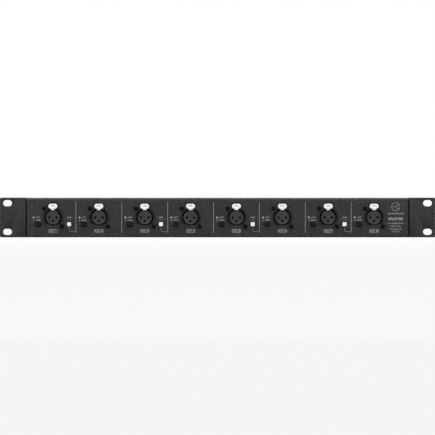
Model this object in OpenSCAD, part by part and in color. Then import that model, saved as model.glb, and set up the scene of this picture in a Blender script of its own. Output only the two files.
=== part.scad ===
// Eight-channel rack microphone splitter: folded case, rack ears, socket inputs, plug outputs, push buttons.
// Origin at the middle of the rack slot pattern, on the ears' rear face. X right, Y back, Z up, in mm.

/* [Case] */
// Full width across the rack ears
panel_w = 482.6; // [475:0.1:600]
// Full height of the case and its ears
case_h = 44; // [43.6:0.1:60]
// Depth of the case behind the ears' rear face
case_depth = 138; // [122:1:300]
// Thickness of the case's sheet steel
sheet_t = 1.2; // [0.8:0.1:1.5]
// Outside radius of the sheet's folds
fold_r = 2.4; // [1.8:0.1:3]
// Depth of the lips folded back from the front and rear walls
lip_depth = 12; // [8:1:20]
// Height of the tray's side walls
side_wall_h = 39; // [32:1:39]
// Gap between the tray's sides and the cover
side_gap = 0.1; // [0.05:0.05:0.5]
// How far the cover's front edge sits behind the front face
cover_setback = 3.5; // [3:0.5:6]

/* [Rack ears] */
// Thickness of the ears
ear_t = 2; // [1.5:0.1:3]
// Width that each ear adds to the case
ear_reach = 29.1; // [24:0.1:34]
// Depth of the ear's side flange behind the ears' rear face
ear_flange = 60; // [50:1:90]
// Outside radius of the ear's fold
ear_fold_r = 2.6; // [2.1:0.1:4]
// Radius of the ear's outer corners
ear_corner_r = 2; // [0:0.5:4]
// Distance from the ear's outer edge to the slots' middle
slot_inset = 8.75; // [7:0.05:11]
// Vertical distance between the slots
slot_spacing = 31.75; // [25:0.05:34]
// Length of a rack slot
slot_length = 9.8; // [8:0.1:13]
// Width of a rack slot
slot_width = 6.8; // [6:0.1:8]

/* [Channels] */
// Number of channels
channels = 8; // [2:2:8]
// Distance from one channel to the next
channel_pitch = 50.8; // [48:0.1:52]
// From the case's left side to the first socket's middle
first_channel = 30; // [28:0.1:34]
// Distance from one output to the next
output_pitch = 25.4; // [25.2:0.1:26]

/* [Sockets and plugs] */
// Bore of an input socket
socket_bore = 19.1; // [18.8:0.1:19.4]
// Outside of the sockets' collar
collar_d = 22.4; // [21.8:0.1:23.2]
// How far the collars stand out of the walls
collar_proud = 0.4; // [0.2:0.1:1]
// Diameter of a socket's insert
insert_d = 15.9; // [15:0.1:16.2]
// Bore of an output cup
cup_bore = 19; // [18.8:0.1:19.2]
// Outside of an output cup
cup_d = 21.6; // [21:0.1:22.2]
// Depth of an output cup
cup_depth = 14.4; // [12:0.1:15]
// Diameter of an output pin
pin_d = 2.4; // [2.2:0.1:2.6]
// Half the distance between the side contacts
contact_x = 4.1; // [3.6:0.1:4.6]
// How far the third contact lies below the middle
contact_drop = 3.8; // [3.4:0.1:4.4]
// Sideways distance of the connector screws from the middle
screw_x = 9.9; // [9.6:0.1:10.2]
// Upright distance of the connector screws from the middle
screw_z = 10; // [9.6:0.1:10.4]

/* [Latches and buttons] */
// Width of a latch's push tab
tab_w = 9.9; // [9:0.1:11.4]
// Height of a latch's push tab
tab_h = 5.6; // [5:0.1:6.4]
// Height of the push tab's middle above the socket's middle
tab_z = 12.4; // [12.2:0.1:13]
// How far a latch moves
latch_travel = 1.8; // [1:0.1:2]
// Size of a button's square cap
cap_size = 4.3; // [4:0.1:5.6]
// Gap round a button in its hole
cap_gap = 0.85; // [0.3:0.05:0.9]
// How far a button stands out of the front
cap_proud = 3; // [2.6:0.1:5]
// How far a button moves
button_travel = 2.5; // [1:0.1:2.5]
// Sideways place of the lift button from its channel's middle
lift_x = -16.5; // [-17.5:0.1:-16.5]
// Sideways place of the link button from its channel's middle
link_x = 18; // [16.6:0.1:19]
// Height of both buttons
button_z = -7.5; // [-12:0.1:0]

/* [Inside] */
// Thickness of the circuit boards
board_t = 1.6; // [1:0.1:2]
// Distance from the ears' rear face to the front board
front_board_y = 17.5; // [17.5:0.5:19]
// Height of the pillars under the main board
pillar_h = 6; // [4:0.5:8]
// Diameter of a transformer can
can_d = 25.4; // [20:0.1:30]
// Height of a transformer can
can_h = 27; // [20:0.5:28]

/* [Hidden] */
$fn = 48;
eps = 0.01;
front_y = -ear_t;
back_y = case_depth;
case_w = panel_w - 2 * ear_reach;
tray_w = case_w - 2 * (sheet_t + side_gap);
half_h = case_h / 2;
top_z = half_h - sheet_t;
floor_z = -half_h + sheet_t;
wall_in_y = front_y + sheet_t;
rear_in_y = back_y - sheet_t;
cover_y = front_y + cover_setback;
side_top_z = -half_h + side_wall_h;
slot_x = panel_w / 2 - slot_inset;

// Connectors
fit_gap = 0.25;
flange_t = 2.4;
flange_w = 24.8;
rear_flange_w = 24.6;
flange_low = -13.2;
flange_high = 13.2;
body_end_y = front_board_y - 1;
shell_floor_t = 2.5;
insert_seat_y = body_end_y - shell_floor_t;
insert_setback = 0.8;
base_disc_t = 2;
base_gap = 0.05;
contact_hole_d = 2.5;
contact_d = 3;
contact_bore = 2.3;
contact_gap = 0.1;
contact_setback = 3.6;
contact_floor_t = 3;
shoulder_d = 4;
shoulder_t = 0.8;
tail_d = 1;
tail_hole_d = 1.3;
tail_out = 1;
foot_d = 2.4;
foot_r = 9;
boss_d = 5.6;
boss_depth = 10;
tower_wall = 0.7;
tower_w = tab_w + 2 * (0.4 + tower_wall);
tower_top = tab_z + tab_h / 2 + 0.4 + tower_wall;
key_w = 7;
key_low = -11.9;
contact_at = [[-contact_x, 0], [contact_x, 0], [0, -contact_drop]];
screw_at = [[-screw_x, screw_z], [screw_x, -screw_z]];

// Latches
tab_gap = 0.4;
tab_proud = 0.9;
tab_t = 2.7;
tab_front_y = front_y - collar_proud - tab_proud;
tab_back_y = tab_front_y + tab_t;
pocket_floor_y = tab_back_y + latch_travel + 0.2;
stem_w = 6;
stem_h = 3;
stem_gap = 0.2;
stem_end_y = pocket_floor_y + 4.6;
hook_low = insert_d / 2 + 0.4;
hook_wide = 4.5;
hook_narrow = 3;
spring_r = 1.1;
spring_t = 0.25;
spring_arcs = 2;
spring_len = 2 * spring_r + (2 * spring_r - spring_t) * (spring_arcs - 1);
spring_end_y = stem_end_y + spring_len;
tower_back_y = spring_end_y + 1.8;

// Connector screws
head_d = 4.8;
head_h = 1.3;
shank_d = 2.5;
shank_hole = 2.9;
shank_len = 9;

// Buttons and switches
cap_back_y = front_y + 5.5;
plunger = 2.6;
plunger_gap = 0.2;
switch_front_y = cap_back_y + button_travel + 0.5;
switch_size = 6.9;
plunger_end_y = switch_front_y + 2.5;
switch_hole_y = plunger_end_y + button_travel + 0.5;

// Outputs
cup_mouth_y = back_y + collar_proud;
cup_floor_y = cup_mouth_y - cup_depth;
cup_disc_t = 3;
cup_seat_y = cup_floor_y - cup_disc_t;
cup_end_y = cup_seat_y - shell_floor_t;
rear_board_y = cup_end_y - 1 - board_t;
pin_tip = 0.8;
pin_inset = 2;
outputs = 2 * channels;

// Boards and what they hold
board_z = floor_z + pillar_h;
board_top = board_z + board_t;
board_high = half_h - 4.4;
board_low = -half_h + 3;
board_half_w = tray_w / 2 - 3;
main_front_y = front_board_y + board_t + 10;
main_back_y = rear_board_y - 8;
can_y = (main_front_y + main_back_y) / 2;
can_wall = 0.6;
can_lift = 0.5;
pillar_d = 6;
pillar_hole = 2.9;
header_w = 34;
header_h = 8.5;
header_depth = 9;
ribbon_w = 33;
ribbon_t = 0.9;
ribbon_r = 8.3;
header_top = board_top + header_depth;
ribbon_high = header_top + ribbon_r + 2;

// Case and ear fasteners
ear_screw_y = [10, 46];
ear_screw_z = [-8, 12];
ear_screw_d = 4;
ear_head_d = 7.8;
hole_gap = 0.5;
nut_t = 3;
nut_wall = 2;
lid_screw_d = 3;
lid_head_d = 5.5;
lid_head_h = 1;
lid_screw_y = back_y - fold_r - lip_depth / 2;
lid_screw_x = [for (i = [-2:2]) i * 92];
side_screw_y = [ear_flange + 22, back_y - 12];
side_screw_z = -8;

function channel_x(i) = -case_w / 2 + first_channel + channel_pitch * (i - 1);
function output_x(i) = output_pitch * (i - (outputs + 1) / 2);
header_x = [for (i = [2, channels - 2]) (channel_x(i) + channel_x(i + 1)) / 2];
link_channels = [for (i = [1:2:channels]) i];
pillar_x = [-board_half_w + 8, 0, board_half_w - 8];
pillar_y = [main_front_y + 5, main_back_y - 5];

// Helpers: shapes drawn in X and Z run along Y, and shapes drawn in Y and Z run along X.
module along_y(y0, y1) {
    translate([0, y1, 0]) rotate([90, 0, 0]) linear_extrude(y1 - y0) children();
}

module along_x(x0, x1) {
    translate([x0, 0, 0]) rotate([90, 0, 90]) linear_extrude(x1 - x0) children();
}

module rod_y(d, y0, y1) {
    translate([0, y1, 0]) rotate([90, 0, 0]) cylinder(d = d, h = y1 - y0);
}

module rod_x(d, x0, x1) {
    translate([x0, 0, 0]) rotate([0, 90, 0]) cylinder(d = d, h = x1 - x0);
}

module at_xz(p) {
    translate([p[0], 0, p[1]]) children();
}

module round_box(w, h, r) {
    square([w - 2 * r, h], center = true);
    square([w, h - 2 * r], center = true);
    for (sx = [-1, 1], sy = [-1, 1])
        translate([sx * (w / 2 - r), sy * (h / 2 - r)]) circle(r);
}

// An obround, its length along the first axis.
module obround(l, w) {
    square([l - w, w], center = true);
    for (s = [-1, 1]) translate([s * (l - w) / 2, 0]) circle(d = w);
}

// A quarter of a folded sheet, its centre at the origin and its outside towards (sx, sy).
module fold(r, t, sx, sy) {
    intersection() {
        difference() {
            circle(r);
            circle(r - t);
        }
        translate([sx > 0 ? 0 : -r, sy > 0 ? 0 : -r]) square(r);
    }
}

// Case
module tray_section() {
    rear_top = top_z - sheet_t;
    translate([front_y, -half_h + fold_r]) square([sheet_t, case_h - 2 * fold_r]);
    translate([front_y + fold_r, half_h - fold_r]) fold(fold_r, sheet_t, -1, 1);
    translate([front_y + fold_r, -half_h + fold_r]) fold(fold_r, sheet_t, -1, -1);
    translate([front_y + fold_r, top_z]) square([lip_depth, sheet_t]);
    translate([front_y + fold_r, -half_h]) square([back_y - front_y - 2 * fold_r, sheet_t]);
    translate([back_y - fold_r, -half_h + fold_r]) fold(fold_r, sheet_t, 1, -1);
    translate([rear_in_y, -half_h + fold_r]) square([sheet_t, rear_top + half_h - 2 * fold_r]);
    translate([back_y - fold_r, rear_top - fold_r]) fold(fold_r, sheet_t, 1, 1);
    translate([back_y - fold_r - lip_depth, rear_top - sheet_t]) square([lip_depth, sheet_t]);
}

// Front of an input housing, in X and Z.
module collar_outline(gap) {
    circle(d = collar_d + 2 * gap);
    translate([0, tower_top / 2]) round_box(tower_w + 2 * gap, tower_top + 2 * gap, 4);
    translate([0, key_low / 2]) square([key_w + 2 * gap, -key_low + 2 * gap], center = true);
}

module button_hole() {
    round_box(cap_size + 2 * cap_gap, cap_size + 2 * cap_gap, 0.6);
}

module base_tray() {
    side_len = rear_in_y - 2 * fold_r;
    color([0.2, 0.2, 0.2]) difference() {
        union() {
            along_x(-tray_w / 2, tray_w / 2) tray_section();
            for (s = [-1, 1])
                translate([s * (tray_w - sheet_t) / 2, fold_r + side_len / 2, (side_top_z + floor_z) / 2])
                    cube([sheet_t, side_len, side_top_z - floor_z], center = true);
        }
        for (i = [1:channels]) translate([channel_x(i), 0, 0]) {
            along_y(front_y - 1, wall_in_y + 0.5) collar_outline(fit_gap);
            for (p = screw_at) at_xz(p) rod_y(shank_hole, front_y - 1, wall_in_y + 0.5);
            translate([lift_x, 0, button_z]) along_y(front_y - 1, wall_in_y + 0.5) button_hole();
        }
        for (i = link_channels)
            translate([channel_x(i) + link_x, 0, button_z])
                along_y(front_y - 1, wall_in_y + 0.5) button_hole();
        for (i = [1:outputs]) translate([output_x(i), 0, 0]) {
            rod_y(cup_d + 2 * fit_gap, rear_in_y - 0.5, back_y + 1);
            for (p = screw_at) at_xz(p) rod_y(shank_hole, rear_in_y - 0.5, back_y + 1);
        }
        for (y = ear_screw_y, z = ear_screw_z)
            translate([0, y, z]) rod_x(ear_screw_d + hole_gap, -tray_w / 2 - 1, tray_w / 2 + 1);
        for (y = side_screw_y)
            translate([0, y, side_screw_z]) rod_x(lid_screw_d + hole_gap, -tray_w / 2 - 1, tray_w / 2 + 1);
        for (x = lid_screw_x)
            translate([x, lid_screw_y, top_z - 3 * sheet_t]) cylinder(d = lid_screw_d + hole_gap, h = 3 * sheet_t);
        // The rear lip's ends stop short of the cover's folds.
        for (s = [-1, 1])
            translate([s * tray_w / 2, back_y - lip_depth / 2, top_z - sheet_t])
                cube([2 * fold_r, 2 * lip_depth, 2 * fold_r], center = true);
    }
}

module cover_section() {
    side_h = top_z + half_h - fold_r;
    translate([-case_w / 2 + fold_r, top_z - sheet_t]) square([case_w - 2 * fold_r, sheet_t]);
    for (s = [-1, 1]) {
        translate([s * (case_w / 2 - fold_r), top_z - fold_r]) fold(fold_r, sheet_t, s, 1);
        translate([s * (case_w - sheet_t) / 2, -half_h + side_h / 2]) square([sheet_t, side_h], center = true);
    }
}

module top_cover() {
    color([0.19, 0.19, 0.19]) difference() {
        along_y(cover_y, back_y) cover_section();
        for (y = ear_screw_y, z = ear_screw_z)
            translate([0, y, z]) rod_x(ear_screw_d + hole_gap, -case_w / 2 - 1, case_w / 2 + 1);
        for (y = side_screw_y)
            translate([0, y, side_screw_z]) rod_x(lid_screw_d + hole_gap, -case_w / 2 - 1, case_w / 2 + 1);
        for (x = lid_screw_x)
            translate([x, lid_screw_y, top_z - 2 * sheet_t]) cylinder(d = lid_screw_d + hole_gap, h = 3 * sheet_t);
    }
}

// The right ear, drawn in X and Y and raised along Z.
module ear_section() {
    x0 = case_w / 2;
    translate([x0 + ear_fold_r, front_y]) square([ear_reach - ear_fold_r, ear_t]);
    translate([x0 + ear_fold_r, front_y + ear_fold_r]) fold(ear_fold_r, ear_t, -1, -1);
    translate([x0, front_y + ear_fold_r]) square([ear_t, ear_flange - front_y - ear_fold_r]);
}

module ear_face_outline() {
    r = max(ear_corner_r, 0.1);
    translate([case_w / 2 - ear_reach, 0]) square([2 * ear_reach + 2 * (ear_reach - r), case_h], center = true);
    translate([case_w / 2, -half_h + r]) square([ear_reach, case_h - 2 * r]);
    for (s = [-1, 1]) translate([panel_w / 2 - r, s * (half_h - r)]) circle(r);
}

module rack_ear() {
    difference() {
        intersection() {
            translate([0, 0, -half_h]) linear_extrude(case_h) ear_section();
            along_y(front_y - 1, ear_flange + 1) ear_face_outline();
        }
        for (s = [-1, 1])
            translate([slot_x, 0, s * slot_spacing / 2])
                along_y(front_y - 1, 1) obround(slot_length, slot_width);
        for (y = ear_screw_y, z = ear_screw_z) translate([case_w / 2, y, z]) {
            rod_x(ear_screw_d + hole_gap, -1, ear_t + 1);
            rotate([0, 90, 0]) cylinder(d1 = ear_screw_d, d2 = ear_head_d, h = ear_t);
        }
    }
}

module right_rack_ear() { color([0.21, 0.21, 0.21]) rack_ear(); }

module left_rack_ear() { color([0.21, 0.21, 0.21]) mirror([1, 0, 0]) rack_ear(); }

// Inputs
module input_housing(i) {
    x = channel_x(i);
    color([0.06, 0.06, 0.06]) translate([x, 0, 0]) difference() {
        union() {
            along_y(front_y - collar_proud, wall_in_y) collar_outline(0);
            along_y(wall_in_y, wall_in_y + flange_t)
                translate([0, (flange_high + flange_low) / 2]) round_box(flange_w, flange_high - flange_low, 2);
            rod_y(collar_d, wall_in_y, body_end_y);
            translate([-tower_w / 2, wall_in_y, 0]) cube([tower_w, tower_back_y - wall_in_y, tower_top]);
            for (p = screw_at) at_xz(p) rod_y(boss_d, wall_in_y, wall_in_y + boss_depth);
            for (a = [90, 210, 330])
                at_xz([foot_r * cos(a), foot_r * sin(a)]) rod_y(foot_d, body_end_y - 1, front_board_y);
        }
        rod_y(socket_bore, front_y - 1, insert_seat_y);
        for (p = contact_at) at_xz(p) rod_y(shoulder_d + 0.4, insert_seat_y - 1, body_end_y + 1);
        for (p = screw_at) at_xz(p) rod_y(shank_hole, front_y - 1, wall_in_y + boss_depth - 0.6);
        along_y(front_y - 1, pocket_floor_y)
            translate([0, tab_z]) obround(tab_w + 2 * tab_gap, tab_h + 2 * tab_gap);
        translate([-hook_wide / 2 - tab_gap, front_y - 1, hook_low - 1])
            cube([hook_wide + 2 * tab_gap, pocket_floor_y - front_y + 1, tab_z - hook_low + 1]);
        translate([-stem_w / 2 - stem_gap, pocket_floor_y - 1, tab_z - stem_h / 2 - stem_gap])
            cube([stem_w + 2 * stem_gap, spring_end_y - pocket_floor_y + 1, stem_h + 2 * stem_gap]);
    }
}

module input_latch(i) {
    color([0.92, 0.92, 0.9]) translate([channel_x(i), 0, 0]) {
        along_y(tab_front_y, tab_back_y) {
            translate([0, tab_z]) obround(tab_w, tab_h);
            polygon([[-hook_wide / 2, hook_low], [hook_wide / 2, hook_low],
                     [hook_narrow / 2, hook_low + 1.2], [hook_narrow / 2, tab_z],
                     [-hook_narrow / 2, tab_z], [-hook_narrow / 2, hook_low + 1.2]]);
        }
        translate([-stem_w / 2, tab_back_y - eps, tab_z - stem_h / 2])
            cube([stem_w, stem_end_y - tab_back_y + eps, stem_h]);
    }
}

// A folded strip of spring steel behind each latch.
module latch_springs() {
    step = 2 * spring_r - spring_t;
    color("silver") for (i = [1:channels])
        along_x(channel_x(i) - stem_w / 4, channel_x(i) + stem_w / 4)
            for (k = [0:spring_arcs - 1]) translate([stem_end_y + spring_r + step * k, tab_z])
                intersection() {
                    difference() {
                        circle(spring_r);
                        circle(spring_r - spring_t);
                    }
                    translate([-spring_r, k % 2 == 0 ? 0 : -spring_r]) square([2 * spring_r, spring_r]);
                }
}

module input_inserts() {
    front = front_y + insert_setback;
    lip = 1;
    color([0.14, 0.14, 0.14]) for (i = [1:channels]) translate([channel_x(i), 0, 0]) difference() {
        union() {
            rod_y(insert_d, front, insert_seat_y);
            rod_y(socket_bore - 2 * base_gap, insert_seat_y - base_disc_t, insert_seat_y);
        }
        for (p = contact_at) at_xz(p) {
            rod_y(contact_hole_d, front - 1, insert_seat_y + 1);
            rod_y(contact_d + 2 * contact_gap, front + lip, insert_seat_y + 1);
        }
    }
}

module input_contacts() {
    front = front_y + insert_setback + contact_setback;
    color("gold") for (i = [1:channels], p = contact_at) translate([channel_x(i), 0, 0]) at_xz(p) {
        difference() {
            rod_y(contact_d, front, insert_seat_y);
            rod_y(contact_bore, front - 1, insert_seat_y - contact_floor_t);
        }
        rod_y(shoulder_d, insert_seat_y, insert_seat_y + shoulder_t);
        rod_y(tail_d, insert_seat_y + shoulder_t - eps, front_board_y + board_t + tail_out);
    }
}

// Buttons and switches
module button(x, tone) {
    color(tone) translate([x, 0, button_z]) {
        along_y(front_y - cap_proud, cap_back_y) round_box(cap_size, cap_size, 0.5);
        along_y(cap_back_y - eps, plunger_end_y) square(plunger, center = true);
    }
}

module lift_button(i) { button(channel_x(i) + lift_x, [0.1, 0.1, 0.11]); }

module link_button(i) { button(channel_x(link_channels[i - 1]) + link_x, [0.95, 0.95, 0.94]); }

module switch_body(x) {
    hole = plunger + 2 * plunger_gap;
    translate([x, 0, button_z]) difference() {
        along_y(switch_front_y, front_board_y) square(switch_size, center = true);
        along_y(switch_front_y - 1, switch_hole_y) square(hole, center = true);
    }
}

module lift_switches() {
    color([0.12, 0.12, 0.12]) for (i = [1:channels]) switch_body(channel_x(i) + lift_x);
}

module link_switches() {
    color([0.12, 0.12, 0.12]) for (i = link_channels) switch_body(channel_x(i) + link_x);
}

// Boards
module front_board() {
    color([0.05, 0.3, 0.15]) difference() {
        translate([-board_half_w, front_board_y, board_low])
            cube([2 * board_half_w, board_t, board_high - board_low]);
        for (i = [1:channels], p = contact_at) translate([channel_x(i), 0, 0]) at_xz(p)
            rod_y(tail_hole_d, front_board_y - 1, front_board_y + board_t + 1);
    }
}

module rear_board() {
    color([0.05, 0.3, 0.15]) difference() {
        translate([-board_half_w, rear_board_y, board_low])
            cube([2 * board_half_w, board_t, board_high - board_low]);
        for (i = [1:outputs], p = contact_at) translate([output_x(i), 0, 0]) at_xz(p)
            rod_y(tail_hole_d, rear_board_y - 1, rear_board_y + board_t + 1);
    }
}

module main_board() {
    color([0.05, 0.3, 0.15]) difference() {
        translate([-board_half_w, main_front_y, board_z])
            cube([2 * board_half_w, main_back_y - main_front_y, board_t]);
        for (x = pillar_x, y = pillar_y)
            translate([x, y, board_z - 1]) cylinder(d = lid_screw_d + hole_gap, h = board_t + 2);
        for (i = [1:channels]) translate([channel_x(i), can_y, board_z - 1])
            transformer_pin_places() cylinder(d = tail_hole_d, h = board_t + 2);
    }
}

module board_pillars() {
    color("silver") for (x = pillar_x, y = pillar_y) translate([x, y, floor_z]) difference() {
        cylinder(d = pillar_d, h = pillar_h);
        translate([0, 0, 1]) cylinder(d = pillar_hole, h = pillar_h);
    }
}

module board_screws() {
    color("silver") for (x = pillar_x, y = pillar_y) translate([x, y, board_top]) {
        cylinder(d = lid_head_d, h = 1.8);
        translate([0, 0, -board_t - 3]) cylinder(d = shank_d, h = board_t + 3 + eps);
    }
}

// Transformers
module transformer_pin_places() {
    for (sx = [-1, 1], k = [-1:1]) translate([sx * can_d * 0.3, k * can_d * 0.2, 0]) children();
}

module transformer_cans() {
    color([0.62, 0.62, 0.6]) for (i = [1:channels])
        translate([channel_x(i), can_y, board_top + can_lift]) difference() {
            cylinder(d = can_d, h = can_h);
            translate([0, 0, -1]) cylinder(d = can_d - 2 * can_wall, h = can_h + 1 - can_wall);
        }
}

module transformer_coils() {
    gap = 0.2;
    color([0.5, 0.25, 0.1]) for (i = [1:channels]) translate([channel_x(i), can_y, board_top]) difference() {
        cylinder(d = can_d - 2 * can_wall - 2 * gap, h = can_h + can_lift - can_wall);
        translate([0, 0, -1]) transformer_pin_places() cylinder(d = tail_hole_d, h = 5);
    }
}

module transformer_pins() {
    color("silver") for (i = [1:channels]) translate([channel_x(i), can_y, board_z - tail_out])
        transformer_pin_places() cylinder(d = tail_d, h = board_t + tail_out + 4);
}

// Ribbon cables
module ribbon_headers() {
    color([0.1, 0.1, 0.1]) for (x = header_x) {
        translate([x - header_w / 2, front_board_y + board_t, ribbon_high - header_h / 2])
            cube([header_w, header_depth, header_h]);
        translate([x - header_w / 2, rear_board_y - header_depth, ribbon_high - header_h / 2])
            cube([header_w, header_depth, header_h]);
        for (y = [front_board_y + board_t + header_depth + ribbon_r,
                  rear_board_y - header_depth - ribbon_r])
            translate([x - header_w / 2, y - header_h / 2, board_top])
                cube([header_w, header_h, header_depth]);
    }
}

// A quarter turn down from a header on the front board, then straight into the one on the main board.
module ribbon_section() {
    r = ribbon_r + ribbon_t / 2;
    intersection() {
        difference() {
            circle(r);
            circle(r - ribbon_t);
        }
        square(r);
    }
    translate([r - ribbon_t, -(ribbon_high - ribbon_r - header_top)])
        square([ribbon_t, ribbon_high - ribbon_r - header_top]);
}

module front_ribbons() {
    color([0.45, 0.45, 0.45]) for (x = header_x)
        along_x(x - ribbon_w / 2, x + ribbon_w / 2)
            translate([front_board_y + board_t + header_depth, ribbon_high - ribbon_r]) ribbon_section();
}

module rear_ribbons() {
    color([0.45, 0.45, 0.45]) for (x = header_x)
        along_x(x - ribbon_w / 2, x + ribbon_w / 2)
            translate([rear_board_y - header_depth, ribbon_high - ribbon_r]) mirror([1, 0]) ribbon_section();
}

// Outputs
module output_cup(i) {
    translate([output_x(i), 0, 0]) difference() {
        union() {
            rod_y(cup_d, cup_end_y, cup_mouth_y);
            along_y(rear_in_y - flange_t, rear_in_y) round_box(rear_flange_w, rear_flange_w, 2);
            for (p = screw_at) at_xz(p) rod_y(boss_d - 0.8, rear_in_y - boss_depth, rear_in_y);
            for (a = [90, 210, 330])
                at_xz([foot_r * cos(a), foot_r * sin(a)]) rod_y(foot_d, rear_board_y + board_t, cup_end_y + 1);
        }
        rod_y(cup_bore, cup_seat_y, cup_mouth_y + 1);
        for (p = contact_at) at_xz(p) rod_y(shoulder_d + 0.4, cup_end_y - 1, cup_seat_y + 1);
        for (p = screw_at) at_xz(p) rod_y(shank_hole, rear_in_y - boss_depth + 0.6, rear_in_y + 1);
    }
}

module output_cups_direct() {
    color([0.08, 0.08, 0.08]) for (i = [1:2:outputs]) output_cup(i);
}

module output_cups_isolated() {
    color([0.08, 0.08, 0.08]) for (i = [2:2:outputs]) output_cup(i);
}

module output_inserts() {
    color([0.14, 0.14, 0.14]) for (i = [1:outputs]) translate([output_x(i), 0, 0]) difference() {
        rod_y(cup_bore - 2 * base_gap, cup_seat_y, cup_floor_y);
        for (p = contact_at) at_xz(p) rod_y(pin_d + 2 * contact_gap, cup_seat_y - 1, cup_floor_y + 1);
    }
}

module output_pins() {
    tip_y = cup_mouth_y - pin_inset;
    color("gold") for (i = [1:outputs], p = contact_at) translate([output_x(i), 0, 0]) at_xz(p) {
        rod_y(pin_d, cup_seat_y, tip_y - pin_tip);
        translate([0, tip_y, 0]) rotate([90, 0, 0]) cylinder(d1 = pin_d / 2, d2 = pin_d, h = pin_tip);
        rod_y(shoulder_d, cup_seat_y - shoulder_t, cup_seat_y);
        rod_y(tail_d, rear_board_y, cup_seat_y - shoulder_t + eps);
    }
}

// Fasteners
module input_screws() {
    color([0.05, 0.05, 0.05]) for (i = [1:channels], p = screw_at) translate([channel_x(i), 0, 0]) at_xz(p) {
        difference() {
            rod_y(head_d, front_y - head_h, front_y);
            cross_recess(front_y - head_h);
        }
        rod_y(shank_d, front_y - eps, front_y + shank_len);
    }
}

module output_screws() {
    color([0.05, 0.05, 0.05]) for (i = [1:outputs], p = screw_at) translate([output_x(i), 0, 0]) at_xz(p) {
        difference() {
            rod_y(head_d, back_y, back_y + head_h);
            cross_recess(back_y + head_h);
        }
        rod_y(shank_d, back_y - shank_len, back_y + eps);
    }
}

// A cross cut into a head whose face is at y.
module cross_recess(y) {
    arm = 2.4;
    cut = 0.7;
    depth = 0.7;
    for (a = [0, 90]) translate([0, y, 0]) rotate([0, a, 0])
        cube([arm, 2 * depth, cut], center = true);
}

// Two sides' screws: drawn for the right side and mirrored for the left.
module both_sides() {
    for (s = [0, 1]) mirror([s, 0, 0]) children();
}

module ear_screws() {
    x = case_w / 2 + ear_t;
    color([0.05, 0.05, 0.05]) both_sides() for (y = ear_screw_y, z = ear_screw_z) translate([x, y, z]) {
        difference() {
            rotate([0, -90, 0]) cylinder(d1 = ear_head_d, d2 = ear_screw_d, h = ear_t);
            rotate([0, 0, 90]) cross_recess(0);
        }
        rod_x(ear_screw_d, -ear_t - 2 * sheet_t - side_gap - nut_t, -ear_t + eps);
    }
}

module cover_screws() {
    color([0.05, 0.05, 0.05]) {
        for (x = lid_screw_x) translate([x, lid_screw_y, top_z]) {
            cylinder(d = lid_head_d, h = lid_head_h);
            translate([0, 0, -2 * sheet_t - nut_t]) cylinder(d = lid_screw_d, h = 2 * sheet_t + nut_t + eps);
        }
        both_sides() for (y = side_screw_y) translate([case_w / 2, y, side_screw_z]) {
            rod_x(lid_head_d, 0, lid_head_h);
            rod_x(lid_screw_d, -2 * sheet_t - side_gap - nut_t, eps);
        }
    }
}

module nut(d) {
    difference() {
        cylinder(d = d + 2 * nut_wall, h = nut_t);
        translate([0, 0, -1]) cylinder(d = d + 0.2, h = nut_t + 2);
    }
}

module case_nuts() {
    color("silver") {
        for (x = lid_screw_x) translate([x, lid_screw_y, top_z - 2 * sheet_t - nut_t]) nut(lid_screw_d);
        both_sides() {
            for (y = ear_screw_y, z = ear_screw_z)
                translate([tray_w / 2 - sheet_t, y, z]) rotate([0, -90, 0]) nut(ear_screw_d);
            for (y = side_screw_y)
                translate([tray_w / 2 - sheet_t, y, side_screw_z]) rotate([0, -90, 0]) nut(lid_screw_d);
        }
    }
}

base_tray();
top_cover();
left_rack_ear();
right_rack_ear();
for (i = [1:channels]) {
    input_housing(i);
    input_latch(i);
    lift_button(i);
}
for (i = [1:len(link_channels)])
    link_button(i);
input_inserts();
input_contacts();
latch_springs();
lift_switches();
link_switches();
front_board();
main_board();
rear_board();
board_pillars();
board_screws();
transformer_cans();
transformer_coils();
transformer_pins();
ribbon_headers();
front_ribbons();
rear_ribbons();
output_cups_direct();
output_cups_isolated();
output_inserts();
output_pins();
input_screws();
output_screws();
ear_screws();
cover_screws();
case_nuts();
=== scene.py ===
import math

import bmesh
import bpy
from mathutils import Matrix, Vector


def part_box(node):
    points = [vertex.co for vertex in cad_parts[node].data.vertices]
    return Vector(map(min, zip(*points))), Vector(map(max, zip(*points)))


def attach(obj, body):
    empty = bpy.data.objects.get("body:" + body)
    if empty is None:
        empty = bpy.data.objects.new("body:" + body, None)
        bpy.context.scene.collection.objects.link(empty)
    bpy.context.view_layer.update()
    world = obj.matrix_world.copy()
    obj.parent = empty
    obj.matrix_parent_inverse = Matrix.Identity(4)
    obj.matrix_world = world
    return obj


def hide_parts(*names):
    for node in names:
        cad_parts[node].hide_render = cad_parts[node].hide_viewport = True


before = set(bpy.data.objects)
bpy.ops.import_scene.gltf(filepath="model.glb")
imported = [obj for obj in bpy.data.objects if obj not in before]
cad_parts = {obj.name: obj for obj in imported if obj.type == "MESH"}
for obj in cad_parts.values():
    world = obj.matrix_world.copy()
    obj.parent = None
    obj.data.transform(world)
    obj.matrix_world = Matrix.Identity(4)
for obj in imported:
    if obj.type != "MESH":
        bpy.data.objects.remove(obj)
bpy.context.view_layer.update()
print("frame loaded")

# Pieces are drawn in millimetres and scaled to metres when they are finished.
mm = 0.001
channels = sum(1 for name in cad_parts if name.startswith("input_housing_"))
linkButtons = sum(1 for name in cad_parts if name.startswith("link_button_"))


def boxOf(node):
    low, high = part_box(node)
    return low / mm, high / mm


def middleOf(node):
    low, high = boxOf(node)
    return (low + high) / 2


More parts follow.
